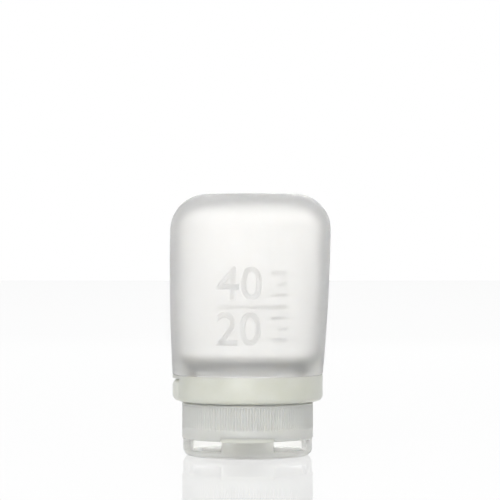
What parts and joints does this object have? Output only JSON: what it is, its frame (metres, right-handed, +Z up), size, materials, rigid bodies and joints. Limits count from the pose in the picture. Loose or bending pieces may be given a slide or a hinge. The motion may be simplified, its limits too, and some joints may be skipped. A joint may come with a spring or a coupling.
{
  "type": "travel silicone bottle",
  "caption": "Squeezable clear silicone travel bottle that stands on its ribbed screw cap, with a flip top lid, a no drip valve and a carry loop that slides out of the collar.",
  "frame": {"origin": "centre of the closed lid's flat face, on the cap's axis, where the bottle stands", "axes": "+Z up along the cap's axis towards the tube's base, hinge of the lid at -Y, thumb lip and slide tab at +Y, loop opens to -X"},
  "size_m": [0.0467, 0.0434, 0.0755],
  "materials": {
    "tube_silicone": "frosted clear silicone",
    "valve_silicone": "soft matte silicone",
    "cap_plastic": "natural frosted polypropylene",
    "collar_plastic": "silky natural polypropylene",
    "insert_plastic": "natural polypropylene",
    "loop_plastic": "flexible natural polypropylene"
  },
  "bodies": {
    "cap": {"screw_cap": "cap_plastic", "nozzle_valve": "valve_silicone", "valve_retainer": "insert_plastic"},
    "lid": {"flip_lid": "cap_plastic"},
    "seal": {"neck_seal": "valve_silicone"},
    "bottle": {"squeeze_tube": "tube_silicone", "collar_ring": "collar_plastic", "neck_insert": "insert_plastic"},
    "tab": {"slide_tab": "loop_plastic"},
    "strap_front": {"loop_front": "loop_plastic"},
    "strap_rear": {"loop_rear": "loop_plastic"}
  },
  "joints": [
    {"name": "lid_hinge", "type": "hinge", "parent": "cap", "child": "lid", "pos_m": [0, -0.0191, 0.00585], "axis": [-1, 0, 0], "range_deg": [0, 180]},
    {"name": "cap_turn", "type": "hinge", "parent": "cap", "child": "seal", "pos_m": [0, 0, 0.007], "axis": [0, 0, 1], "range_deg": [0, 720]},
    {"name": "cap_rise", "type": "slide", "parent": "seal", "child": "bottle", "axis": [0, 0, 1], "range_m": [0, 0.008]},
    {"name": "tab_slide", "type": "hinge", "parent": "bottle", "child": "tab", "pos_m": [0, 0, 0.019], "axis": [0, 0, 1], "range_deg": [0, 44]},
    {"name": "loop_front_fold", "type": "hinge", "parent": "tab", "child": "strap_front", "pos_m": [-0.00534, 0.01992, 0.019], "axis": [0, 0, -1], "range_deg": [0, 54.85]},
    {"name": "loop_rear_fold", "type": "hinge", "parent": "strap_front", "child": "strap_rear", "pos_m": [-0.01846, 0.0092, 0.019], "axis": [0, 0, 1], "range_deg": [0, 65.7]}
  ],
  "couplings": [
    {"joint": "cap_rise", "follows": "cap_turn", "m_per_rad": 0.0006366},
    {"joint": "loop_front_fold", "follows": "tab_slide", "ratio": 1.2466},
    {"joint": "loop_rear_fold", "follows": "tab_slide", "ratio": 1.4931}
  ]
}
